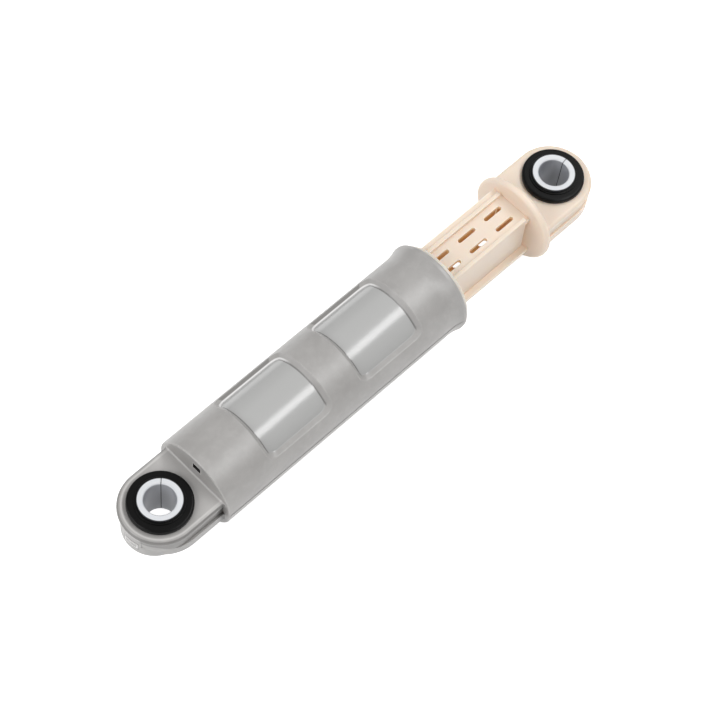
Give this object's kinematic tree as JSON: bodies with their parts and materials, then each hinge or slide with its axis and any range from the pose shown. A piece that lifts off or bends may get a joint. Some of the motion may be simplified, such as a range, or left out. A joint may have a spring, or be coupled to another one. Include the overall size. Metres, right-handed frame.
{
  "type": "washing machine shock absorber",
  "caption": "Plastic friction damper: a slotted rod slides and turns in a round barrel, with a rubber bushed eye at each end.",
  "frame": {"origin": "centre of the bolt hole in the barrel's eye", "axes": "+X along the damper to the rod's eye, +Z along both bolt holes"},
  "size_m": [0.2682, 0.0442, 0.0442],
  "materials": {
    "barrel_plastic": "satin",
    "rod_plastic": "satin",
    "ring_plastic": "satin",
    "lining_foam": "matt",
    "bush_rubber": "satin",
    "sleeve_plastic": "satin"
  },
  "bodies": {
    "barrel_body": {"barrel": "barrel_plastic", "barrel_bush": "bush_rubber", "barrel_sleeve": "sleeve_plastic"},
    "ring_body": {"guide_ring": "ring_plastic"},
    "rod_body": {"rod": "rod_plastic", "rod_bush": "bush_rubber", "rod_sleeve": "sleeve_plastic", "friction_lining": "lining_foam"}
  },
  "joints": [
    {"name": "rod_twist", "type": "hinge", "parent": "barrel_body", "child": "ring_body", "pos_m": [0.157, 0, 0], "axis": [1, 0, 0], "continuous": true},
    {"name": "rod_slide", "type": "slide", "parent": "ring_body", "child": "rod_body", "axis": [1, 0, 0], "range_m": [-0.0478, 0.045]}
  ]
}
